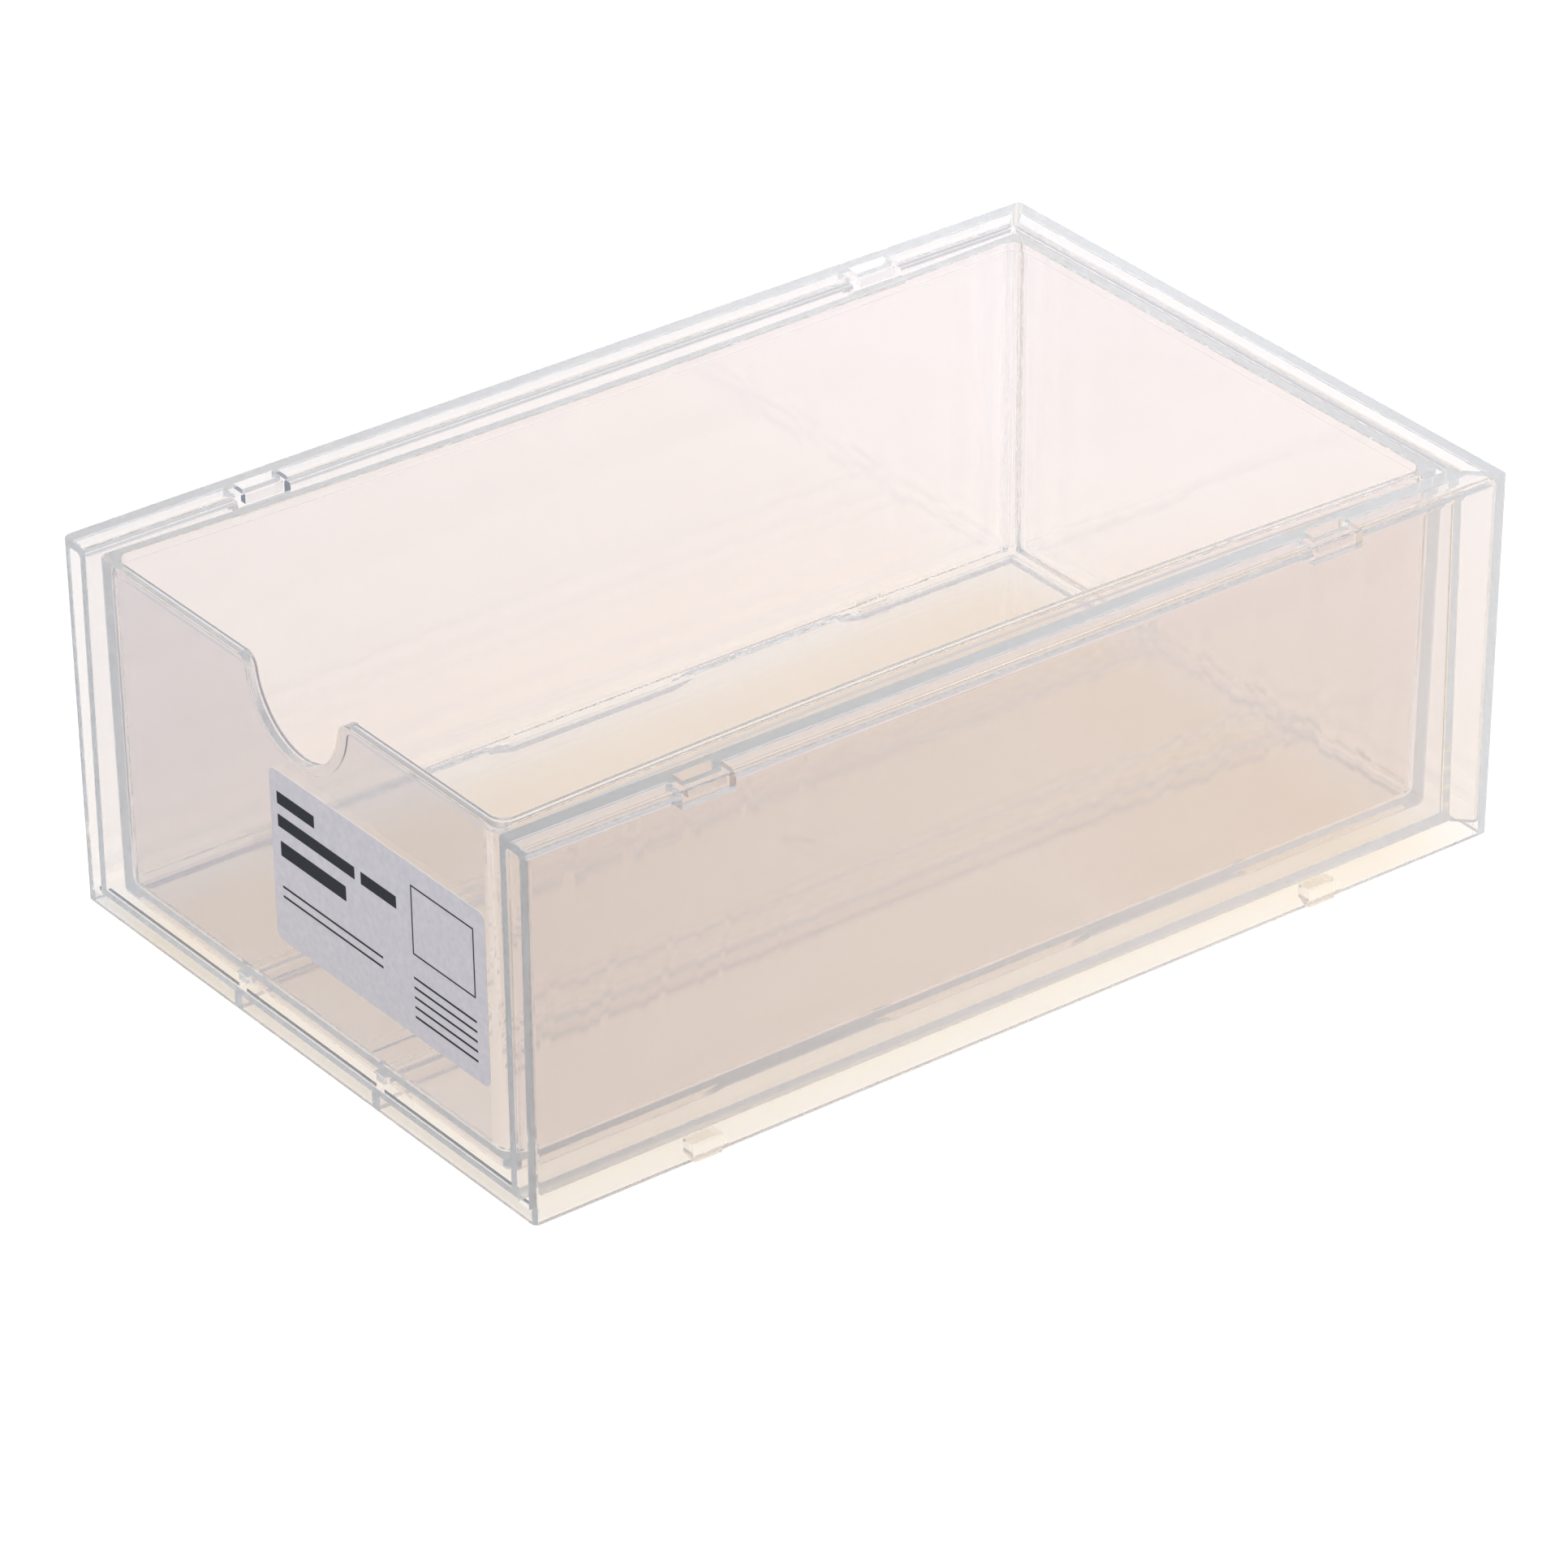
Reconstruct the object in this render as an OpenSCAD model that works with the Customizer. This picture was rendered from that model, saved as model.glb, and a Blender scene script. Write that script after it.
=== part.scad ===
// Stackable drawer box for small parts. A clear, double-walled case is open at the top and the
// front, and one clear drawer slides forward in it on two glide rails. A paper label is stuck to
// the drawer's front. Boxes stack: the four tabs under one case drop into the four recesses in the
// rim of the next. Millimetres; X to the right, Y to the back, Z up, standing on z = 0.

/* [Case] */
// Outside width at the rim
case_w = 106; // [90:1:130]
// Outside depth at the rim
case_d = 164.6; // [140:0.2:200]
// Height from the skirt's lower edge to the rim
case_h = 56.6; // [40:0.2:90]
// How far each outside wall leans inward from the rim to the skirt
case_draft = 0.6; // [0.2:0.1:1]
// Thickness of the two skins of each double wall
skin_t = 1.3; // [1:0.1:1.5]
// Thickness of the rim that joins the two skins
rim_t = 1.2; // [1:0.1:1.6]
// Width of the rim, across both skins and the hollow between them
rim_w = 5.6; // [5.2:0.1:7]
// Thickness of the upright web across the hollow at each rear corner
web_t = 1.3; // [1:0.1:2]
// Thickness of the floor plate
floor_t = 1.5; // [1:0.1:1.8]
// Height of the floor plate's underside above the skirt's lower edge
skirt_h = 2; // [2:0.1:4]
// Thickness of the skirt bar across the front
bar_t = 1.2; // [1:0.1:1.6]
// Radius of the case's upright outside corners
case_corner_r = 0.9; // [0.7:0.1:1.2]

/* [Glide rails] */
// Distance between the two rails, centre to centre
rail_spacing = 32.2; // [20:0.2:50]
// Width of a rail
rail_w = 1.8; // [1.2:0.1:3]
// Height of a rail above the floor plate
rail_h = 0.9; // [0.9:0.1:1.5]

/* [Stacking] */
// Length of a tab along the side
tab_l = 5.8; // [4:0.1:10]
// Thickness of a tab
tab_t = 1.7; // [1.4:0.1:1.8]
// Distance from the rim's outside in to a tab's outside
tab_set = 2.4; // [2.2:0.1:2.4]
// How far the tabs reach below the skirt
tab_drop = 1.8; // [1:0.1:2]
// Height of a tab's root above the skirt's lower edge
tab_root = 2; // [1.6:0.1:2]
// Distance from the front of the case to the middle of the front tabs
tab_front = 29.4; // [20:0.2:40]
// Distance from the front tabs to the rear tabs
tab_pitch = 105.4; // [70:0.2:110]
// Free play all round a tab in its recess
tab_play = 0.2; // [0.1:0.1:0.3]

/* [Drawer] */
// Thickness of the walls
wall_t = 1.4; // [1.2:0.1:1.8]
// Thickness of the floor
drawer_floor_t = 1.1; // [1:0.1:1.6]
// How far each wall leans inward from the rim to the foot
drawer_draft = 0.7; // [0.3:0.1:1]
// How far the long walls bow inward at the middle of the rim
wall_bow = 1.6; // [0:0.1:3]
// Radius of the upright outside corners
drawer_corner_r = 1.5; // [1.2:0.1:3]
// Height of the bead round the inside of the rim
bead_h = 1.35; // [1:0.05:2]
// How far the bead stands proud of the wall
bead_t = 0.3; // [0.2:0.05:0.5]
// Width of the foot ring
foot_w = 2.7; // [2:0.1:4]
// Length of each cut-away in the foot ring along the sides
foot_gap_l = 26; // [16:1:30]
// Distance between the two cut-aways of one side
foot_gap_pitch = 62; // [50:1:66]
// Distance between the two ribs on the floor, centre to centre
rib_spacing = 23.3; // [16:0.1:32]
// Width of a floor rib
rib_w = 2.1; // [1:0.1:3]
// Height of a floor rib
rib_h = 0.4; // [0.3:0.1:0.8]

/* [Finger notch] */
// Radius of the notch's round bottom
notch_r = 10.4; // [8:0.1:14]
// Depth of the notch below the rim
notch_depth = 10.9; // [9.5:0.1:14]
// Radius of the two shoulders
shoulder_r = 2.5; // [2:0.1:4]

/* [Drawer fit] */
// Gap between the drawer's rim and the case on each side
side_gap = 1.5; // [0.5:0.1:2]
// Gap behind the drawer when it is shut
rear_gap = 0.4; // [0.3:0.1:1]
// How far the shut drawer's front stands behind the case's front
front_set = 0.85; // [0.5:0.05:1.5]
// How far the drawer's rim lies below the case's rim
top_set = 0.4; // [0.3:0.1:1]
// Gap between the foot ring and the floor plate
floor_gap = 0.3; // [0.3:0.05:0.5]
// Gap between the drawer and the rails, above them and at each side
rail_gap = 0.35; // [0.3:0.05:0.5]

/* [Label] */
// Width of the label
label_w = 48.5; // [30:0.5:60]
// Height of the label
label_h = 26.4; // [12:0.1:28]
// Thickness of the paper
label_t = 0.12; // [0.1:0.01:0.2]
// Corner radius of the label
label_corner_r = 1.3; // [1:0.1:4]
// How far the label's middle lies to the right of the drawer's middle
label_right = 18; // [0:0.5:18]
// Distance from the drawer's rim down to the label's upper edge
label_down = 14.2; // [11:0.1:16]

/* [Hidden] */
$fn = 64;
cut = 1;                 // how far a cutting solid runs past the face that it opens
edge_r = 0.25;           // rounding of the drawer's rim
rim_edge_r = 0.4;        // rounding of the case's rim outside
hollow_r = 0.8;          // rounding at the top of the hollow
cavity_r = 1;            // upright rear corners of the space for the drawer
tab_r = 1.5;             // upper rear corner of a tab
tab_foot_r = 0.5;        // lower rear corner of a tab
tab_lead = 1.2;          // length of the slope at a tab's lower front corner
gate_r = 0.5;            // stub left where the plastic ran in, at the middle of each floor
gate_h = 0.3;            // height of the stub
gate_well_r = 2.3;       // shallow well under the case's floor that holds its stub
gate_well_h = 0.4;       // depth of the well
label_gap = 0.02;        // adhesive between the paper and the drawer
arc_step = 15;           // degrees between the points of a rounded edge
side_steps = 16;         // straight pieces along each bowed wall

skirt_z = tab_drop;
rim_z = skirt_z + case_h;
floor_under_z = skirt_z + skirt_h;
floor_top_z = floor_under_z + floor_t;
front_y = -case_d / 2;
back_y = case_d / 2;
cavity_w = case_w - 2 * rim_w;
cavity_back_y = back_y - rim_w;
hollow_top_z = rim_z - rim_t;

tab_h = tab_drop + tab_root;
tab_ys = [front_y + tab_front, front_y + tab_front + tab_pitch];
recess_w = tab_t + 2 * tab_play;
recess_l = tab_l + 2 * tab_play;
recess_depth = tab_drop + tab_play;
skin_set = case_draft + skin_t;          // from the rim's outside in to the outer skin's inside
pocket_front_y = front_y + case_draft + bar_t;

drawer_w = cavity_w - 2 * side_gap;
drawer_front_y = front_y + front_set;
drawer_back_y = cavity_back_y - rear_gap;
drawer_d = drawer_back_y - drawer_front_y;
drawer_mid_y = (drawer_front_y + drawer_back_y) / 2;
drawer_top_z = rim_z - top_set;
foot_z = floor_top_z + floor_gap;
foot_h = rail_h + rail_gap - floor_gap;
drawer_h = drawer_top_z - foot_z;
drawer_floor_z = foot_z + foot_h + drawer_floor_t;
drawer_lean = atan(drawer_draft / drawer_h);
bottom_r = drawer_corner_r - 0.2;        // lower outside edge of the drawer
inner_corner_r = drawer_corner_r + 1.1;
fillet_r = bottom_r;                     // where the walls meet the floor inside
slope_l = 4;                             // sloped end of each cut-away in the foot ring

// Points of a quarter round about [x, y] that starts at the angle given
function arc_points(x, y, r, from) =
  [for (a = [0 : arc_step : 90]) [x + r * cos(from + a), y + r * sin(from + a)]];

// A level outline: a rounded rectangle whose two long sides bow inward at the middle
function ring(half_w, half_d, corner_r, bow, z) =
  let (
    hx = half_w - corner_r,
    hy = half_d - corner_r,
    side_ys = [for (i = [1 : side_steps - 1]) hy * (2 * i / side_steps - 1)],
    outline = concat(
      arc_points(hx, -hy, corner_r, -90),
      [for (y = side_ys) [half_w, y]],
      arc_points(hx, hy, corner_r, 0),
      arc_points(-hx, hy, corner_r, 90),
      [for (y = side_ys) [-half_w, -y]],
      arc_points(-hx, -hy, corner_r, 180)
    )
  )
  [for (p = outline) [p.x * (1 - bow / half_w * (1 - pow(p.y / half_d, 2))), p.y, z]];

// A solid skinned over a list of rings about the Z axis, from the lowest to the highest, with a
// fan of triangles at each end
module loft(rings) {
  count = len(rings[0]);
  last = len(rings) - 1;
  top = last * count;
  bottom_middle = top + count;
  top_middle = bottom_middle + 1;
  middles = [[0, 0, rings[0][0].z], [0, 0, rings[last][0].z]];
  walls = [
    for (low = [0 : count : top - count], i = [0 : count - 1])
      let (j = (i + 1) % count)
      each [[low + i, low + count + i, low + count + j], [low + i, low + count + j, low + j]]
  ];
  ends = [
    for (i = [0 : count - 1])
      let (j = (i + 1) % count)
      each [[bottom_middle, i, j], [top_middle, top + j, top + i]]
  ];
  polyhedron(concat([for (r = rings) each r], middles), concat(walls, ends));
}

// The case's outside: it leans inward towards the skirt and has a rounded upper edge
function case_ring(z, inset) =
  let (lean = case_draft * (1 - (z - skirt_z) / case_h))
  ring(case_w / 2 - lean - inset, case_d / 2 - lean - inset, case_corner_r - inset, 0, z);

module case_outside() {
  edge = [
    for (a = [0 : arc_step : 90])
      case_ring(rim_z - rim_edge_r * (1 - sin(a)), rim_edge_r * (1 - cos(a)))
  ];
  loft(concat([case_ring(skirt_z, 0)], edge));
}

// The space for the drawer, open to the top and the front
module cavity() {
  run = cavity_back_y - front_y + cut;
  translate([-cavity_w / 2, front_y - cut, floor_top_z])
    linear_extrude(case_h)
      union() {
        square([cavity_w, run - cavity_r]);
        translate([cavity_r, 0]) square([cavity_w - 2 * cavity_r, run]);
        for (x = [cavity_r, cavity_w - cavity_r]) translate([x, run - cavity_r]) circle(cavity_r);
      }
}

// Section of the hollow in a double wall: x runs outward to the rim's outside at 0, y is height
module hollow_section() {
  inner = rim_w - skin_t;
  polygon(concat(
    [[-inner, skirt_z - cut], [-skin_set, skirt_z - cut]],
    arc_points(-skin_t - hollow_r, hollow_top_z - hollow_r, hollow_r, 0),
    arc_points(-inner + hollow_r, hollow_top_z - hollow_r, hollow_r, 90)
  ));
}

// Everything on one side of the upright web that runs inward from the right rear corner
module past_web(side) {
  reach = 4 * rim_w;
  offset_y = side > 0 ? -web_t / 2 : web_t / 2 - reach;
  translate([case_w / 2, back_y, 0])
    rotate(45)
      translate([-reach, offset_y, 0])
        cube([2 * reach, reach, rim_z]);
}

// The solid left in the hollow round each stacking recess of the right side
module recess_boxes() {
  for (y = tab_ys)
    translate([case_w / 2 - rim_w, y - recess_l / 2 - rim_t, rim_z - recess_depth - rim_t])
      cube([rim_w, recess_l + 2 * rim_t, recess_depth + rim_t]);
}

// The hollow in the right wall, open at its front end above the skirt bar
module side_hollow() {
  difference() {
    translate([case_w / 2, back_y, 0])
      rotate([90, 0, 0])
        linear_extrude(case_d + cut) hollow_section();
    past_web(1);
    recess_boxes();
    translate([case_w / 2 - rim_w, front_y - cut, 0])
      cube([rim_w, pocket_front_y - front_y + cut, floor_under_z]);
  }
}

module back_hollow() {
  difference() {
    translate([-case_w / 2, back_y, 0])
      rotate([90, 0, 90])
        linear_extrude(case_w) hollow_section();
    for (flip = [0, 1]) mirror([flip, 0, 0]) past_web(-1);
  }
}

// The space under the floor plate, inside the skirt that the outer skins and the front bar make
module floor_pocket() {
  half = case_w / 2 - skin_set;
  translate([-half, pocket_front_y, skirt_z - cut])
    cube([2 * half, back_y - skin_set - pocket_front_y, skirt_h + cut]);
}

// Two glide rails on the floor plate, and the ribs that stiffen it underneath
module rails() {
  for (x = [-rail_spacing / 2, rail_spacing / 2])
    translate([x - rail_w / 2, pocket_front_y, skirt_z])
      cube([rail_w, cavity_back_y - pocket_front_y + skin_t / 2, skirt_h + floor_t + rail_h]);
}

// The well under the floor plate, and the stub in it where the plastic ran into the mould
module gate_well() {
  translate([0, 0, floor_under_z - cut]) cylinder(h = gate_well_h + cut, r = gate_well_r);
}

module case_gate() {
  translate([0, 0, floor_under_z + gate_well_h - gate_h]) cylinder(h = floor_t / 2, r = gate_r);
}

// The pockets in the rim of the right side that take the tabs of the box above
module recesses() {
  for (y = tab_ys)
    translate([case_w / 2 - tab_set + tab_play - recess_w, y - recess_l / 2, rim_z - recess_depth])
      cube([recess_w, recess_l, recess_depth + cut]);
}

// The corner that a round of radius r takes off a square corner at the origin
module corner_waste(r) {
  difference() {
    translate([-cut, -cut]) square(r + cut);
    translate([r, r]) circle(r);
  }
}

// Side view of a tab: x runs to the back, y is height above the foot
module tab_outline() {
  difference() {
    polygon([
      [-tab_l / 2 + tab_lead, 0], [tab_l / 2, 0], [tab_l / 2, tab_h],
      [-tab_l / 2, tab_h], [-tab_l / 2, tab_drop]
    ]);
    translate([tab_l / 2, tab_h]) rotate(180) corner_waste(tab_r);
    translate([tab_l / 2, 0]) rotate(90) corner_waste(tab_foot_r);
  }
}

// A tab of the right side, and its root that runs out into the outer skin
module tab() {
  root_reach = tab_set + tab_t - skin_set + skin_t / 2;
  translate([case_w / 2 - tab_set - tab_t, 0, 0])
    rotate([90, 0, 90]) {
      linear_extrude(tab_t) tab_outline();
      linear_extrude(root_reach)
        intersection() {
          tab_outline();
          translate([-tab_l / 2, tab_drop]) square([tab_l, tab_root]);
        }
    }
}

module case() {
  color([0.86, 0.89, 0.92, 0.45]) {
    difference() {
      case_outside();
      cavity();
      floor_pocket();
      back_hollow();
      for (flip = [0, 1]) mirror([flip, 0, 0]) side_hollow();
      for (flip = [0, 1]) mirror([flip, 0, 0]) recesses();
      gate_well();
    }
    case_gate();
    rails();
    for (flip = [0, 1], y = tab_ys) mirror([flip, 0, 0]) translate([0, y, 0]) tab();
  }
}

// One ring of the drawer, set in from its outside, at a height
function drawer_ring(z, inset, corner_r) =
  let (
    up = min(1, (z - foot_z) / drawer_h),
    in = inset + drawer_draft * (1 - up)
  )
  ring(drawer_w / 2 - in, drawer_d / 2 - in, corner_r, wall_bow * up, z);

module drawer_outside() {
  lower = [
    for (a = [0 : arc_step : 90])
      let (in = bottom_r * (1 - sin(a)))
      drawer_ring(foot_z + bottom_r * (1 - cos(a)), in, drawer_corner_r - in)
  ];
  upper = [
    for (a = [0 : arc_step : 90])
      let (in = edge_r * (1 - cos(a)))
      drawer_ring(drawer_top_z - edge_r * (1 - sin(a)), in, drawer_corner_r - in)
  ];
  translate([0, drawer_mid_y, 0]) loft(concat(lower, upper));
}

// The drawer's inside: a fillet at the floor, straight walls, then the bead under the rim
module drawer_inside() {
  bead_z = drawer_top_z - bead_h;
  lower = [
    for (a = [0 : arc_step : 90])
      let (in = fillet_r * (1 - sin(a)))
      drawer_ring(drawer_floor_z + fillet_r * (1 - cos(a)), wall_t + in, inner_corner_r - in)
  ];
  bead = [
    drawer_ring(bead_z - bead_t, wall_t, inner_corner_r),
    drawer_ring(bead_z, wall_t + bead_t, inner_corner_r - bead_t)
  ];
  upper = [
    for (a = [0 : arc_step : 90])
      let (out = edge_r * (1 - cos(a)))
      drawer_ring(drawer_top_z - edge_r * (1 - sin(a)), wall_t + bead_t - out,
        inner_corner_r - bead_t + out)
  ];
  above = [drawer_ring(drawer_top_z + cut, wall_t + bead_t - edge_r, inner_corner_r - bead_t + edge_r)];
  translate([0, drawer_mid_y, 0]) loft(concat(lower, bead, upper, above));
}

// Outline of the finger notch, grown all round: a round bottom that runs into two round shoulders.
// The rim is at y = 0.
module notch_outline(grow) {
  round_y = notch_r - notch_depth;
  rise = round_y + shoulder_r;
  shoulder_x = sqrt(pow(notch_r + shoulder_r, 2) - pow(rise, 2));
  meet_y = round_y - rise * (notch_r + grow) / (notch_r + shoulder_r);
  translate([0, round_y]) circle(notch_r + grow);
  difference() {
    translate([-shoulder_x, meet_y]) square([2 * shoulder_x, cut - meet_y]);
    for (x = [-shoulder_x, shoulder_x])
      translate([x, -shoulder_r]) circle(shoulder_r - grow);
  }
}

// Places a drawing made flat in x and y upright on the drawer's leaning front, its y = 0 at the rim
module on_front(thickness) {
  translate([0, drawer_front_y, drawer_top_z])
    rotate([90 + drawer_lean, 0, 0])
      linear_extrude(thickness) children();
}

// The bead that follows the notch on the inside of the front plate
module notch_bead() {
  depth = wall_t + bead_t;
  translate([0, depth, 0])
    on_front(depth - wall_t / 2)
      intersection() {
        notch_outline(bead_h);
        translate([-2 * notch_r, -2 * notch_r]) square([4 * notch_r, 2 * notch_r]);
      }
}

// What is cut away under the drawer to leave the foot ring
module foot_cuts() {
  under_z = foot_z - cut;
  ring_in = drawer_draft + foot_w;
  translate([ring_in - drawer_w / 2, drawer_front_y + ring_in, under_z])
    cube([drawer_w - 2 * ring_in, drawer_d - 2 * ring_in, foot_h + cut]);
  for (x = [-rail_spacing / 2, rail_spacing / 2])
    translate([x - rail_w / 2 - rail_gap, drawer_front_y - cut, under_z])
      cube([rail_w + 2 * rail_gap, drawer_d + 2 * cut, foot_h + cut]);
  for (y = [-foot_gap_pitch / 2, foot_gap_pitch / 2])
    translate([-case_w / 2, drawer_mid_y + y, foot_z])
      rotate([90, 0, 90])
        linear_extrude(case_w) foot_gap_outline();
}

module foot_gap_outline() {
  half = foot_gap_l / 2;
  polygon([
    [-half - slope_l, -cut], [half + slope_l, -cut], [half + slope_l, 0],
    [half, foot_h], [-half, foot_h], [-half - slope_l, 0]
  ]);
}

module floor_ribs() {
  for (x = [-rib_spacing / 2, rib_spacing / 2])
    translate([x - rib_w / 2, drawer_front_y + wall_t, drawer_floor_z - drawer_floor_t / 2])
      cube([rib_w, drawer_d - 2 * wall_t, drawer_floor_t / 2 + rib_h]);
}

module drawer_gate() {
  translate([0, drawer_mid_y, drawer_floor_z - drawer_floor_t / 2])
    cylinder(h = drawer_floor_t / 2 + gate_h, r = gate_r);
}

module drawer() {
  color([0.90, 0.90, 0.90, 0.45])
    difference() {
      union() {
        difference() {
          drawer_outside();
          drawer_inside();
          foot_cuts();
        }
        floor_ribs();
        drawer_gate();
        notch_bead();
      }
      translate([0, wall_t + bead_t + cut, 0])
        on_front(wall_t + bead_t + 2 * cut) notch_outline(0);
    }
}

module label() {
  radius = label_corner_r;
  color([0.78, 0.77, 0.81])
    translate([label_right - label_w / 2, -label_gap, 0])
      on_front(label_t)
        translate([0, -label_down - label_h])
          union() {
            translate([radius, 0]) square([label_w - 2 * radius, label_h]);
            translate([0, radius]) square([label_w, label_h - 2 * radius]);
            for (x = [radius, label_w - radius], y = [radius, label_h - radius])
              translate([x, y]) circle(radius);
          }
}

case();
drawer();
label();
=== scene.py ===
import math

import bmesh
import bpy
from mathutils import Matrix, Vector


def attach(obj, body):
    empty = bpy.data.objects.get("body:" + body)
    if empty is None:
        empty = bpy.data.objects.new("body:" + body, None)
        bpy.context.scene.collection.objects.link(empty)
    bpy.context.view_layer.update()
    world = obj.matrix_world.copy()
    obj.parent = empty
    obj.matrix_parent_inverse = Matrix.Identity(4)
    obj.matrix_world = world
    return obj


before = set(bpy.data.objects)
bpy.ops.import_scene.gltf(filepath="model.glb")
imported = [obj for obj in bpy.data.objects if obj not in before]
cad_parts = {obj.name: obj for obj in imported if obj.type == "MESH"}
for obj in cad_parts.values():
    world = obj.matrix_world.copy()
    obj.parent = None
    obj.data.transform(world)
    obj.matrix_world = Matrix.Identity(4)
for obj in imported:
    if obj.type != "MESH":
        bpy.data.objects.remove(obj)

bl_info = {
    "name": "Clear stackable drawer box",
    "version": (1, 1, 0),
    "blender": (4, 5, 0),
    "location": "View3D > Sidebar > Drawer Box",
    "description": "Finishes a clear double-walled case, its drawer and its printed paper label",
    "category": "Object",
}

MM = 0.001

# The scene's own camera looks at the box from its front right and from above.
CAMERA_PLACE = (0.79594, -0.60543, 0.59618)
CAMERA_TURN = (59.820, 0.304, 52.621)
CAMERA_LENS = 193.2
SENSOR_WIDTH = 36.0
FAR_CLIP = 20.0

# The dim side of the room is the one where that camera stands. It is fixed in the room, and stays
# there when another view moves the camera. The dimming starts and ends at these cosines to it.
DIM_SIDE = (0.796, -0.605, 0.0)
DIM_START = -0.3
DIM_END = 0.7

# The painted glow that stands in for light guided inside the walls grows from the box's front
# right,
# the same side, to its back left: painted dimmer at the front right, brighter at the back left.
PAINTED_GLOW_WAY = (-0.6, 0.8, 0.0)
GLOW_REACH = 100 * MM

# Seen through the plastic, the floor has painted light that grows whiter from the box's front left
# to its back right.
PAINTED_LIFT_WAY = (0.62, 0.78, 0.0)
LIFT_START = -180 * MM
LIFT_END = 100 * MM

# The painted shade on the paper to the right of the box, put there for mirrored light alone, turns
# paler towards the back.
SIDE_START = -80 * MM
SIDE_END = 120 * MM

# Each softbox: name, place, side and power in watts. All of them face the box.
SOFTBOXES = (
    ("soft_light_over", (-0.6, 0.5, 1.5), 1.4, 17.0),
    ("soft_light_front", (1.2, -1.2, 1.0), 1.0, 5.0),
)

# Where each moulding's flow waves start, so that the two differ, and how the waves are drawn out
# along the box.
CASE_FLOW = 0.0
DRAWER_FLOW = 3.0
FLOW_STRETCH = 0.35

# Sizes of the faint patterns: patches of mould polish, the length of a label fibre, the mottle of
# the ink and the clouds of the backdrop paper. Fibre and mottle are finer on the real thing, and
# are drawn as coarse as they need to show. The polish varies by its spread, as a share.
POLISH_SIZE = 8.33 * MM
POLISH_SPREAD = 0.3
FIBRE_SIZE = 1.11 * MM
MOTTLE_SIZE = 0.4 * MM
CLOUD_SIZE = 16.67 * MM

# How near to the label's top or bottom edge a point lies that counts as on it.
TOP_BAND = 0.01 * MM
BOTTOM_BAND = 0.2 * MM

# Ruled print on the label in mm. A bar is its start from the left edge, its start from the top, its
# width and its height. Fine lines add their pitch and count, and the frame adds its line width.
BOLD_BARS = (
    (1.6, 3.2, 8.6, 1.9),
    (1.6, 6.7, 17.6, 1.9),
    (20.6, 6.7, 8.0, 1.9),
    (2.0, 10.7, 15.0, 2.3),
)
FINE_LEFT = (2.0, 17.6, 23.0, 0.34, 1.5, 2)
FINE_RIGHT = (32.0, 17.2, 14.0, 0.34, 1.5, 5)
FRAME_RIGHT = (32.0, 3.2, 14.0, 10.6, 0.26)

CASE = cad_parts["case"]
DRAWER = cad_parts["drawer"]
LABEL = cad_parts["label"]


# ---------------------------------------------------------------------------------------------
# Small helpers
# ---------------------------------------------------------------------------------------------


def linear(hex_colour):
    """A colour written as sRGB hex, such as F4EFEA, as linear red, green, blue and alpha."""
    channels = []
    for start in (0, 2, 4):
        value = int(hex_colour[start : start + 2], 16) / 255
        channels.append(value / 12.92 if value <= 0.04045 else ((value + 0.055) / 1.055) ** 2.4)
    return (*channels, 1.0)


def new_material(name):
    """An empty node material."""
    material = bpy.data.materials.new(name)
    material.use_nodes = True
    material.node_tree.nodes.clear()
    return material


def dress(piece, material):
    """Gives a piece one material all over."""
    piece.data.materials.clear()
    piece.data.materials.append(material)


def add_node(tree, kind, settings=None, links=None):
    """Adds a node. Settings fill its properties and its unlinked sockets; links join its inputs."""
    node = tree.nodes.new(kind)
    for key, value in (settings or {}).items():
        if isinstance(key, str) and hasattr(node, key):
            setattr(node, key, value)
        else:
            node.inputs[key].default_value = value
    for key, socket in (links or {}).items():
        tree.links.new(socket, node.inputs[key])
    return node


def colour_setting(name, description, hex_colour):
    """A colour that the user can change in the sidebar."""
    return bpy.props.FloatVectorProperty(
        name=name,
        description=description,
        default=linear(hex_colour),
        size=4,
        subtype="COLOR",
        min=0.0,
        max=1.0,
    )


# ---------------------------------------------------------------------------------------------
# Settings
# ---------------------------------------------------------------------------------------------


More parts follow.
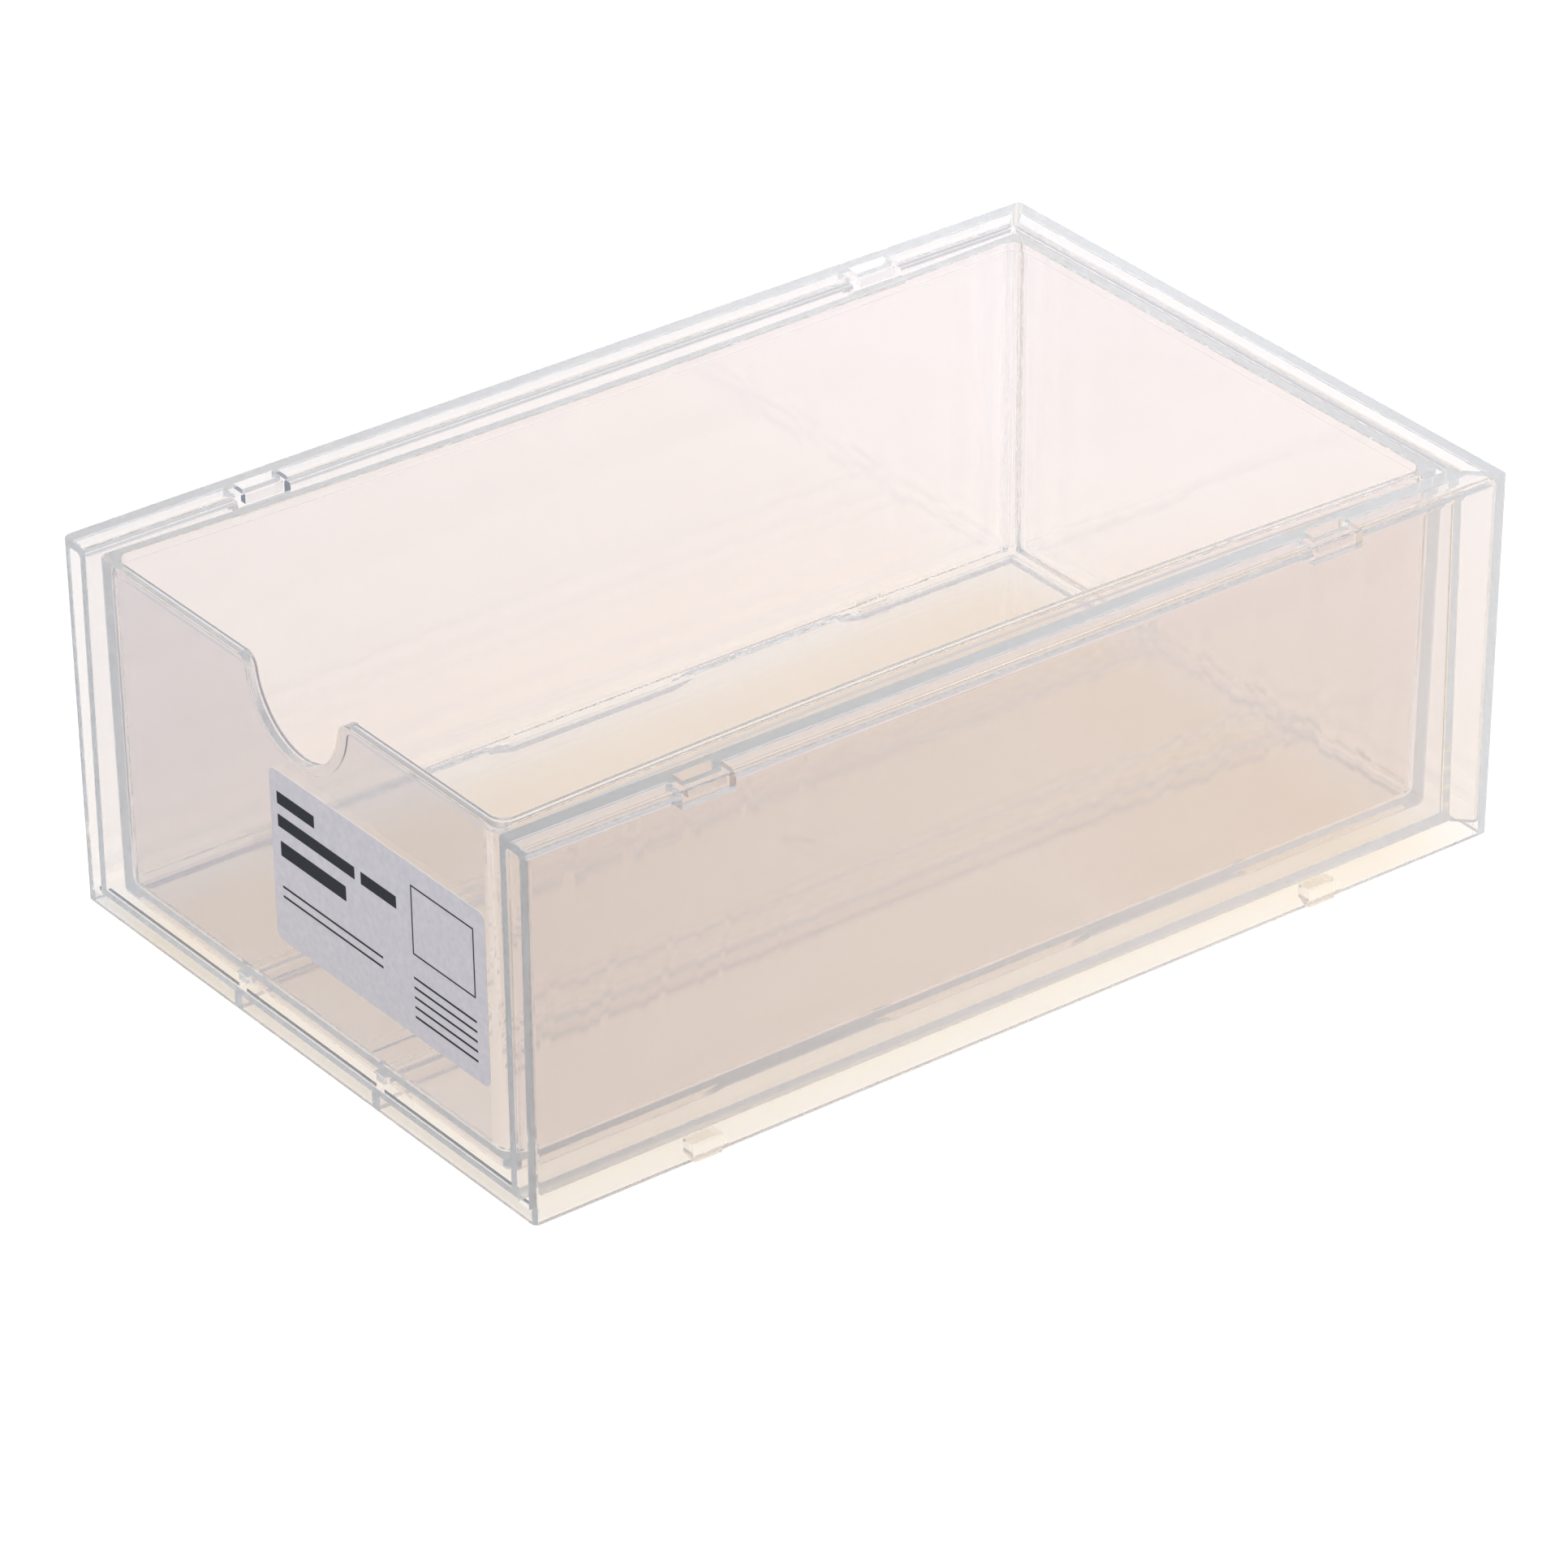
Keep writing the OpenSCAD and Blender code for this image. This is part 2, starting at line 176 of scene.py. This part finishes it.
class PlasticSettings(bpy.types.PropertyGroup):
    """The clear plastic of both mouldings"""

    case_tint: colour_setting("Case tint", "What a wall of the case does to white", "FDFCFD")
    drawer_tint: colour_setting("Drawer tint", "What a wall of the drawer does to white", "FDFAFA")
    lamp_tint: colour_setting("Lamp tint", "What a face does to the light on the ground", "FEFCF8")
    # Colour of the painted glow that stands in for light run far inside a wall.
    painted_glow_tint: colour_setting("Edge tint", "Light that has run far inside a wall", "CFD2D6")
    depth_tint: colour_setting("Depth tint", "What a long way through it does to white", "DCE2E9")
    depth_density: bpy.props.FloatProperty(
        name="Depth density",
        description="How fast light that runs along a wall is coloured, per metre",
        default=6.0,
        min=0.0,
    )
    clearness: bpy.props.FloatProperty(
        name="Clearness",
        description="Share of the light that a face lets through unscattered",
        default=0.985,
        min=0.0,
        max=1.0,
    )
    ior: bpy.props.FloatProperty(
        name="Index", description="Refractive index of the plastic", default=1.59, min=1.3, max=1.8
    )
    roughness: bpy.props.FloatProperty(
        name="Softness",
        description="Roughness of the moulded faces",
        default=0.05,
        min=0.0,
        max=0.3,
    )
    flow_size: bpy.props.FloatProperty(
        name="Flow size",
        description="Length of the faint waves in the moulded faces",
        default=80 * MM,
        min=1 * MM,
        unit="LENGTH",
    )
    flow_height: bpy.props.FloatProperty(
        name="Flow height",
        description="Height of the faint waves in the moulded faces",
        default=0.03 * MM,
        min=0.0,
        unit="LENGTH",
    )
    guided_depth: bpy.props.IntProperty(
        name="Guided depth",
        description="Faces met before light counts as guided inside the plastic",
        default=14,
        min=4,
        max=30,
    )
    # Strengths of the painted glow: painted dimmer at the front right, brighter at the back left.
    painted_glow_front: bpy.props.FloatProperty(
        name="Glow, front",
        description="Strength of the guided light at the box's front right",
        default=0.62,
        min=0.0,
    )
    painted_glow_back: bpy.props.FloatProperty(
        name="Glow, back",
        description="Strength of the guided light at the box's back left",
        default=1.45,
        min=0.0,
    )


class LabelSettings(bpy.types.PropertyGroup):
    """The paper label and its ruled print"""

    paper_dark: colour_setting("Paper dark", "Darker tone of the paper's fibre", "D4D2DA")
    paper_pale: colour_setting("Paper pale", "Paler tone of the paper's fibre", "E0DEE4")
    ink: colour_setting("Ink", "Printing ink where the film is thick", "2A292E")
    ink_thin: colour_setting("Ink thin", "Printing ink where the film is thin", "3A393F")
    ink_height: bpy.props.FloatProperty(
        name="Ink height",
        description="How far the ink stands off the paper",
        default=0.01 * MM,
        min=0.001 * MM,
        unit="LENGTH",
    )


class StageSettings(bpy.types.PropertyGroup):
    """The floor and the light"""

    paper: colour_setting("Paper", "Darker tone of the backdrop paper", "F6F4F2")
    paper_pale: colour_setting("Paper pale", "Paler tone of the backdrop paper", "FAF9F8")
    # Colours of the painted shade that the paper takes for mirrored light alone, in front of the
    # box and to its right.
    painted_front_shade: colour_setting("Shaded paper", "Mirrored paper in front of the box", "7A8798")
    painted_side_shade_near: colour_setting("Side paper, near", "Mirrored paper right of its front", "B0A8A4")
    painted_side_shade_far: colour_setting("Side paper, far", "Mirrored paper right of its back", "DCCCB2")
    sky: colour_setting("Sky", "Light from all round", "F4F4F6")
    sky_strength: bpy.props.FloatProperty(
        name="Sky strength",
        description="Strength of the light from all round",
        default=0.62,
        min=0.0,
    )
    dim_side: bpy.props.FloatProperty(
        name="Dim side",
        description="How bright the dim side of the room looks, seen or mirrored",
        default=0.5,
        min=0.0,
        max=1.0,
    )
    room: colour_setting("Room", "Tone of the room as seen through the plastic", "E8EAEE")
    room_level: bpy.props.FloatProperty(
        name="Room level",
        description="How bright the room looks through the plastic",
        default=0.82,
        min=0.0,
        max=1.0,
    )
    floor_size: bpy.props.FloatProperty(
        name="Floor", description="Side of the floor", default=6.0, min=1.0, unit="LENGTH"
    )
    floor_lift: bpy.props.FloatProperty(
        name="Floor white",
        description="How much whiter than lit paper the floor looks",
        default=0.3,
        min=0.0,
        max=1.0,
    )
    # Strength of the painted light that the floor gives off when seen through the plastic.
    painted_under_lift: bpy.props.FloatProperty(
        name="Under white",
        description="How much whiter than lit paper the floor looks through the plastic",
        default=0.22,
        min=0.0,
        max=1.0,
    )


# ---------------------------------------------------------------------------------------------
# Materials
# ---------------------------------------------------------------------------------------------


def moulded_face(tree, place, tint, plastic, flow_start):
    """A clear face with the faint waves of the plastic's flow and the patches of its polish."""
    flow = add_node(
        tree,
        "ShaderNodeMapping",
        {"Location": (flow_start, 0.0, 0.0), "Scale": (1.0, FLOW_STRETCH, 1.0)},
        {"Vector": place.outputs["Object"]},
    )
    waves = add_node(
        tree,
        "ShaderNodeTexNoise",
        {"Scale": 1 / plastic.flow_size, "Detail": 1.0, "Roughness": 0.4},
        {"Vector": flow.outputs["Vector"]},
    )
    surface = add_node(
        tree,
        "ShaderNodeBump",
        {"Strength": 1.0, "Distance": plastic.flow_height},
        {"Height": waves.outputs["Fac"]},
    )
    patches = add_node(
        tree,
        "ShaderNodeTexNoise",
        {"Scale": 1 / POLISH_SIZE, "Detail": 2.0},
        {"Vector": place.outputs["Object"]},
    )
    polish = add_node(
        tree,
        "ShaderNodeMapRange",
        {
            "To Min": plastic.roughness * (1 - POLISH_SPREAD),
            "To Max": plastic.roughness * (1 + POLISH_SPREAD),
        },
        {"Value": patches.outputs["Fac"]},
    )
    return add_node(
        tree,
        "ShaderNodeBsdfPrincipled",
        {"Base Color": tint, "IOR": plastic.ior, "Transmission Weight": plastic.clearness},
        {"Roughness": polish.outputs["Result"], "Normal": surface.outputs["Normal"]},
    )


def painted_guided_glow(tree, place, plastic):
    """A painted glow, soft cool grey, that stands in for light guided inside the walls."""
    backness = add_node(
        tree,
        "ShaderNodeVectorMath",
        {"operation": "DOT_PRODUCT", 1: PAINTED_GLOW_WAY},
        {0: place.outputs["Object"]},
    )
    level = add_node(
        tree,
        "ShaderNodeMapRange",
        {
            "From Min": -GLOW_REACH,
            "From Max": GLOW_REACH,
            "To Min": plastic.painted_glow_front,
            "To Max": plastic.painted_glow_back,
        },
        {"Value": backness.outputs["Value"]},
    )
    return add_node(
        tree,
        "ShaderNodeEmission",
        {"Color": plastic.painted_glow_tint},
        {"Strength": level.outputs["Result"]},
    )


def moulded_clear_polystyrene(name, tint, plastic, flow_start):
    """General-purpose polystyrene, injection moulded in a fine-ground tool.

    The high index gives bright edges and full reflections inside the walls, and the fine-ground
    faces soften whatever lies behind them. The tint adds up over several walls. Light that has
    met many faces runs on inside the walls. It is not followed further, and a painted glow stands
    in for it, painted dimmer at the front right, where painted shade lies on the paper outside.
    """
    material = new_material(name)
    tree = material.node_tree
    place = add_node(tree, "ShaderNodeTexCoord")
    path = add_node(tree, "ShaderNodeLightPath")
    face = moulded_face(tree, place, tint, plastic, flow_start)
    glow = painted_guided_glow(tree, place, plastic)
    # Past the guided depth, the painted glow takes the place of the plastic's own shading.
    deep = add_node(
        tree,
        "ShaderNodeMath",
        {"operation": "GREATER_THAN", 1: plastic.guided_depth},
        {0: path.outputs["Ray Depth"]},
    )
    seen = add_node(
        tree,
        "ShaderNodeMixShader",
        None,
        {0: deep.outputs[0], 1: face.outputs["BSDF"], 2: glow.outputs["Emission"]},
    )
    # Light on its way to paper or ink goes straight through the thin walls.
    straight = add_node(
        tree,
        "ShaderNodeMath",
        {"operation": "MAXIMUM"},
        {0: path.outputs["Is Shadow Ray"], 1: path.outputs["Is Diffuse Ray"]},
    )
    through = add_node(tree, "ShaderNodeBsdfTransparent", {"Color": plastic.lamp_tint})
    wall = add_node(
        tree,
        "ShaderNodeMixShader",
        None,
        {0: straight.outputs[0], 1: seen.outputs["Shader"], 2: through.outputs["BSDF"]},
    )
    body = add_node(
        tree,
        "ShaderNodeVolumeAbsorption",
        {"Color": plastic.depth_tint, "Density": plastic.depth_density},
    )
    add_node(
        tree,
        "ShaderNodeOutputMaterial",
        None,
        {"Surface": wall.outputs["Shader"], "Volume": body.outputs["Volume"]},
    )
    return material


def coated_label_paper(label):
    """Coated paper: a pale lavender grey sheet with a satin face and a very fine fibre."""
    material = new_material("coated_label_paper")
    tree = material.node_tree
    place = add_node(tree, "ShaderNodeTexCoord")
    fibre = add_node(
        tree,
        "ShaderNodeTexNoise",
        {"Scale": 1 / FIBRE_SIZE, "Detail": 4.0, "Roughness": 0.6},
        {"Vector": place.outputs["Object"]},
    )
    tone = add_node(tree, "ShaderNodeValToRGB", None, {"Fac": fibre.outputs["Fac"]})
    tone.color_ramp.elements[0].position = 0.3
    tone.color_ramp.elements[0].color = label.paper_dark
    tone.color_ramp.elements[1].position = 0.7
    tone.color_ramp.elements[1].color = label.paper_pale
    grain = add_node(
        tree,
        "ShaderNodeBump",
        {"Strength": 0.25, "Distance": 0.02 * MM},
        {"Height": fibre.outputs["Fac"]},
    )
    shader = add_node(
        tree,
        "ShaderNodeBsdfPrincipled",
        {"Roughness": 0.45, "IOR": 1.5},
        {"Base Color": tone.outputs["Color"], "Normal": grain.outputs["Normal"]},
    )
    add_node(tree, "ShaderNodeOutputMaterial", None, {"Surface": shader.outputs["BSDF"]})
    return material


def offset_ink(label):
    """Offset printing ink: near black, with the slight unevenness of a thin printed film."""
    material = new_material("offset_printing_ink")
    tree = material.node_tree
    place = add_node(tree, "ShaderNodeTexCoord")
    mottle = add_node(
        tree,
        "ShaderNodeTexNoise",
        {"Scale": 1 / MOTTLE_SIZE, "Detail": 2.0},
        {"Vector": place.outputs["Object"]},
    )
    tone = add_node(
        tree,
        "ShaderNodeMix",
        {"data_type": "RGBA", 6: label.ink, 7: label.ink_thin},
        {0: mottle.outputs["Fac"]},
    )
    shader = add_node(
        tree,
        "ShaderNodeBsdfPrincipled",
        {"Roughness": 0.4, "IOR": 1.5},
        {"Base Color": tone.outputs[2]},
    )
    add_node(tree, "ShaderNodeOutputMaterial", None, {"Surface": shader.outputs["BSDF"]})
    return material


def painted_mirror_shade(tree, place, path):
    """Where painted shade is put on the paper for mirrored light alone: in front of the box, and to
    its right.

    Also gives the place on the paper, and which part of the painted shade lies in front.
    """
    spot = add_node(tree, "ShaderNodeSeparateXYZ", None, {0: place.outputs["Object"]})
    front = add_node(
        tree,
        "ShaderNodeMath",
        {"operation": "LESS_THAN", 1: -CASE.dimensions.y / 2},
        {0: spot.outputs["Y"]},
    )
    right = add_node(
        tree,
        "ShaderNodeMath",
        {"operation": "GREATER_THAN", 1: CASE.dimensions.x / 2},
        {0: spot.outputs["X"]},
    )
    either = add_node(
        tree,
        "ShaderNodeMath",
        {"operation": "MAXIMUM"},
        {0: front.outputs[0], 1: right.outputs[0]},
    )
    mirrored = add_node(
        tree,
        "ShaderNodeMath",
        {"operation": "MINIMUM", 1: 1.0},
        {0: path.outputs["Glossy Depth"]},
    )
    shade = add_node(
        tree,
        "ShaderNodeMath",
        {"operation": "MULTIPLY"},
        {0: either.outputs[0], 1: mirrored.outputs[0]},
    )
    return spot, front, shade


def paper_tone(tree, place, spot, front, shade, stage):
    """The white sheet, and the darker tones of painted shade that it takes for mirrored light."""
    clouds = add_node(
        tree,
        "ShaderNodeTexNoise",
        {"Scale": 1 / CLOUD_SIZE, "Detail": 3.0},
        {"Vector": place.outputs["Object"]},
    )
    sheet = add_node(
        tree,
        "ShaderNodeMix",
        {"data_type": "RGBA", 6: stage.paper, 7: stage.paper_pale},
        {0: clouds.outputs["Fac"]},
    )
    along = add_node(
        tree,
        "ShaderNodeMapRange",
        {"From Min": SIDE_START, "From Max": SIDE_END},
        {"Value": spot.outputs["Y"]},
    )
    side = add_node(
        tree,
        "ShaderNodeMix",
        {"data_type": "RGBA", 6: stage.painted_side_shade_near, 7: stage.painted_side_shade_far},
        {0: along.outputs["Result"]},
    )
    # Painted shade: the dark front colour in front of the box, the side colours to its right.
    shadow = add_node(
        tree,
        "ShaderNodeMix",
        {"data_type": "RGBA", 7: stage.painted_front_shade},
        {0: front.outputs[0], 6: side.outputs[2]},
    )
    return add_node(
        tree,
        "ShaderNodeMix",
        {"data_type": "RGBA"},
        {0: shade.outputs[0], 6: sheet.outputs[2], 7: shadow.outputs[2]},
    )


def paper_lift(tree, place, path, shade, stage):
    """How much whiter than lit paper the floor looks: evenly white straight on, and through the
    plastic a painted light that grows towards the back right.
    """
    straight = add_node(
        tree,
        "ShaderNodeMath",
        {"operation": "MULTIPLY", 1: stage.floor_lift},
        {0: path.outputs["Is Camera Ray"]},
    )
    lit = add_node(
        tree, "ShaderNodeMath", {"operation": "SUBTRACT", 0: 1.0}, {1: shade.outputs[0]}
    )
    backness = add_node(
        tree,
        "ShaderNodeVectorMath",
        {"operation": "DOT_PRODUCT", 1: PAINTED_LIFT_WAY},
        {0: place.outputs["Object"]},
    )
    whiter = add_node(
        tree,
        "ShaderNodeMapRange",
        {"From Min": LIFT_START, "From Max": LIFT_END, "To Max": stage.painted_under_lift},
        {"Value": backness.outputs["Value"]},
    )
    through = add_node(
        tree,
        "ShaderNodeMath",
        {"operation": "MULTIPLY"},
        {0: path.outputs["Is Transmission Ray"], 1: whiter.outputs["Result"]},
    )
    return add_node(
        tree,
        "ShaderNodeMath",
        {"operation": "MULTIPLY_ADD"},
        {0: through.outputs[0], 1: lit.outputs[0], 2: straight.outputs[0]},
    )


def seamless_backdrop_paper(stage):
    """Seamless white backdrop paper: matt, and white to the eye wherever no shadow falls.

    In front of the box and to its right, painted shade darkens it for mirrored light alone, so that
    the walls facing the scene's own camera mirror a painted grey rather than white.
    """
    material = new_material("white_backdrop_paper")
    tree = material.node_tree
    place = add_node(tree, "ShaderNodeTexCoord")
    path = add_node(tree, "ShaderNodeLightPath")
    spot, front, shade = painted_mirror_shade(tree, place, path)
    tone = paper_tone(tree, place, spot, front, shade, stage)
    lift = paper_lift(tree, place, path, shade, stage)
    paper = add_node(
        tree, "ShaderNodeBsdfDiffuse", {"Roughness": 0.5}, {"Color": tone.outputs[2]}
    )
    # Emission: the even white of the backdrop straight on, and painted light seen through the
    # plastic.
    glow = add_node(
        tree, "ShaderNodeEmission", {"Color": linear("FFFFFF")}, {"Strength": lift.outputs[0]}
    )
    both = add_node(
        tree, "ShaderNodeAddShader", None, {0: paper.outputs["BSDF"], 1: glow.outputs["Emission"]}
    )
    add_node(tree, "ShaderNodeOutputMaterial", None, {"Surface": both.outputs["Shader"]})
    return material


# ---------------------------------------------------------------------------------------------
# Ruled print
# ---------------------------------------------------------------------------------------------


def ruled_bars():
    """Every bar of the print, as start from the left, start from the top, width and height."""
    bars = list(BOLD_BARS)
    for left, top, width, height, pitch, count in (FINE_LEFT, FINE_RIGHT):
        bars += [(left, top + row * pitch, width, height) for row in range(count)]
    left, top, width, height, line = FRAME_RIGHT
    bars += [(left, top, width, line), (left, top + height - line, width, line)]
    bars += [
        (left, top + line, line, height - 2 * line),
        (left + width - line, top + line, line, height - 2 * line),
    ]
    return bars


def label_face():
    """The label's upper left corner as seen from the front, and its directions right and down."""
    points = [vertex.co for vertex in LABEL.data.vertices]
    top = max(point.z for point in points)
    bottom = min(point.z for point in points)
    top_y = min(point.y for point in points if point.z > top - TOP_BAND)
    bottom_points = [point for point in points if point.z < bottom + BOTTOM_BAND]
    low = min(bottom_points, key=lambda point: point.y)
    corner = Vector((min(point.x for point in points), top_y, top))
    down = Vector((0.0, low.y - top_y, low.z - top)).normalized()
    return corner, Vector((1.0, 0.0, 0.0)), down


def print_mesh(height):
    """One thin closed slab of ink for every bar, on the label's face."""
    corner, right, down = label_face()
    outward = down.cross(right).normalized()
    mesh = bpy.data.meshes.new("label_print")
    bm = bmesh.new()
    for left, top, width, depth in ruled_bars():
        middle = corner + right * (left + width / 2) * MM + down * (top + depth / 2) * MM
        middle += outward * height
        turn = Matrix((right, down, outward)).transposed().to_4x4()
        size = Matrix.Diagonal((width * MM, depth * MM, height, 1.0))
        bmesh.ops.create_cube(bm, size=1.0, matrix=Matrix.Translation(middle) @ turn @ size)
    bmesh.ops.recalc_face_normals(bm, faces=bm.faces)
    bm.to_mesh(mesh)
    bm.free()
    return mesh


# ---------------------------------------------------------------------------------------------
# Operators
# ---------------------------------------------------------------------------------------------


class BOX_OT_case(bpy.types.Operator):
    """Finish the double-walled case in clear polystyrene"""

    bl_idname = "drawer_box.case"
    bl_label = "Case"

    def execute(self, context):
        plastic = context.scene.drawer_box_plastic
        material = moulded_clear_polystyrene(
            "clear_polystyrene_case", plastic.case_tint, plastic, CASE_FLOW
        )
        dress(CASE, material)
        return {"FINISHED"}


class BOX_OT_drawer(bpy.types.Operator):
    """Finish the drawer in clear polystyrene"""

    bl_idname = "drawer_box.drawer"
    bl_label = "Drawer"

    def execute(self, context):
        plastic = context.scene.drawer_box_plastic
        material = moulded_clear_polystyrene(
            "clear_polystyrene_drawer", plastic.drawer_tint, plastic, DRAWER_FLOW
        )
        dress(DRAWER, material)
        return {"FINISHED"}


class BOX_OT_label(bpy.types.Operator):
    """Finish the paper label on the drawer's front"""

    bl_idname = "drawer_box.label"
    bl_label = "Label"

    def execute(self, context):
        dress(LABEL, coated_label_paper(context.scene.drawer_box_label))
        return {"FINISHED"}


class BOX_OT_print(bpy.types.Operator):
    """Print plain bars and ruled lines on the label"""

    bl_idname = "drawer_box.print"
    bl_label = "Print"

    def execute(self, context):
        label = context.scene.drawer_box_label
        mesh = print_mesh(label.ink_height)
        mesh.materials.append(offset_ink(label))
        piece = bpy.data.objects.new("label_print", mesh)
        context.scene.collection.objects.link(piece)
        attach(piece, "drawer")
        return {"FINISHED"}


class BOX_OT_stage(bpy.types.Operator):
    """Set up the floor, the soft studio light and the camera"""

    bl_idname = "drawer_box.stage"
    bl_label = "Stage"

    def execute(self, context):
        stage = context.scene.drawer_box_stage
        self.make_floor(context.scene, stage)
        self.make_world(context.scene, stage)
        for name, place, side, power in SOFTBOXES:
            self.make_softbox(context.scene, name, place, side, power)
        self.make_camera(context.scene)
        self.set_light_paths(context.scene)
        return {"FINISHED"}

    def make_floor(self, scene, stage):
        """One flat sheet of backdrop paper under the box."""
        mesh = bpy.data.meshes.new("floor")
        bm = bmesh.new()
        bmesh.ops.create_grid(bm, x_segments=1, y_segments=1, size=stage.floor_size / 2)
        bm.to_mesh(mesh)
        bm.free()
        mesh.materials.append(seamless_backdrop_paper(stage))
        floor = bpy.data.objects.new("floor", mesh)
        scene.collection.objects.link(floor)

    def make_world(self, scene, stage):
        """Even soft light. Seen or mirrored, it is white behind the box and dim on one side."""
        world = bpy.data.worlds.new("white_studio")
        world.use_nodes = True
        tree = world.node_tree
        tree.nodes.clear()
        path = add_node(tree, "ShaderNodeLightPath")
        place = add_node(tree, "ShaderNodeTexCoord")
        dimness = add_node(
            tree,
            "ShaderNodeVectorMath",
            {"operation": "DOT_PRODUCT", 1: DIM_SIDE},
            {0: place.outputs["Generated"]},
        )
        level = add_node(
            tree,
            "ShaderNodeMapRange",
            {
                "From Min": DIM_START,
                "From Max": DIM_END,
                "To Min": 1.0,
                "To Max": stage.dim_side,
            },
            {"Value": dimness.outputs["Value"]},
        )
        looked_at = add_node(
            tree,
            "ShaderNodeMath",
            {"operation": "MAXIMUM"},
            {0: path.outputs["Is Camera Ray"], 1: path.outputs["Is Glossy Ray"]},
        )
        light = add_node(
            tree, "ShaderNodeBackground", {"Color": stage.sky, "Strength": stage.sky_strength}
        )
        white = add_node(
            tree,
            "ShaderNodeBackground",
            {"Color": linear("FFFFFF")},
            {"Strength": level.outputs["Result"]},
        )
        room = add_node(
            tree,
            "ShaderNodeBackground",
            {"Color": stage.room, "Strength": stage.room_level},
        )
        outer = add_node(
            tree,
            "ShaderNodeMixShader",
            None,
            {0: looked_at.outputs[0], 1: light.outputs[0], 2: white.outputs[0]},
        )
        mixed = add_node(
            tree,
            "ShaderNodeMixShader",
            None,
            {0: path.outputs["Is Transmission Ray"], 1: outer.outputs[0], 2: room.outputs[0]},
        )
        add_node(tree, "ShaderNodeOutputWorld", None, {"Surface": mixed.outputs[0]})
        scene.world = world

    def make_softbox(self, scene, name, place, side, power):
        """A soft lamp that faces the box and is not itself seen in the plastic."""
        data = bpy.data.lights.new(name, "AREA")
        data.shape = "SQUARE"
        data.size = side
        data.energy = power
        lamp = bpy.data.objects.new(name, data)
        lamp.location = place
        lamp.rotation_euler = (-Vector(place)).to_track_quat("-Z", "Y").to_euler()
        lamp.visible_glossy = False
        lamp.visible_transmission = False
        scene.collection.objects.link(lamp)

    def make_camera(self, scene):
        """A long lens, which keeps the box's edges nearly parallel."""
        data = bpy.data.cameras.new("camera")
        data.lens = CAMERA_LENS
        data.sensor_width = SENSOR_WIDTH
        data.clip_end = FAR_CLIP
        camera = bpy.data.objects.new("camera", data)
        camera.location = CAMERA_PLACE
        camera.rotation_euler = [math.radians(angle) for angle in CAMERA_TURN]
        scene.collection.objects.link(camera)
        scene.camera = camera

    def set_light_paths(self, scene):
        """Plain view colours, and paths long enough for light that crosses many clear walls."""
        scene.view_settings.view_transform = "Standard"
        scene.cycles.max_bounces = 28
        scene.cycles.transmission_bounces = 28
        scene.cycles.glossy_bounces = 20
        scene.cycles.diffuse_bounces = 4
        scene.cycles.transparent_max_bounces = 40


class BOX_PT_panel(bpy.types.Panel):
    """Lists the steps that finish the drawer box"""

    bl_idname = "BOX_PT_panel"
    bl_label = "Drawer Box"
    bl_space_type = "VIEW_3D"
    bl_region_type = "UI"
    bl_category = "Drawer Box"

    def draw(self, context):
        for step in STEPS:
            self.layout.operator(step.bl_idname)


STEPS = (BOX_OT_case, BOX_OT_drawer, BOX_OT_label, BOX_OT_print, BOX_OT_stage)
GROUPS = (PlasticSettings, LabelSettings, StageSettings)


def register():
    for item in (*GROUPS, *STEPS, BOX_PT_panel):
        bpy.utils.register_class(item)
    bpy.types.Scene.drawer_box_plastic = bpy.props.PointerProperty(type=PlasticSettings)
    bpy.types.Scene.drawer_box_label = bpy.props.PointerProperty(type=LabelSettings)
    bpy.types.Scene.drawer_box_stage = bpy.props.PointerProperty(type=StageSettings)


def unregister():
    del bpy.types.Scene.drawer_box_stage
    del bpy.types.Scene.drawer_box_label
    del bpy.types.Scene.drawer_box_plastic
    for item in reversed((*GROUPS, *STEPS, BOX_PT_panel)):
        bpy.utils.unregister_class(item)


def main():
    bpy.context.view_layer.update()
    register()
    bpy.ops.drawer_box.case()
    bpy.ops.drawer_box.drawer()
    bpy.ops.drawer_box.label()
    bpy.ops.drawer_box.print()
    bpy.ops.drawer_box.stage()


if __name__ == "__main__":
    main()
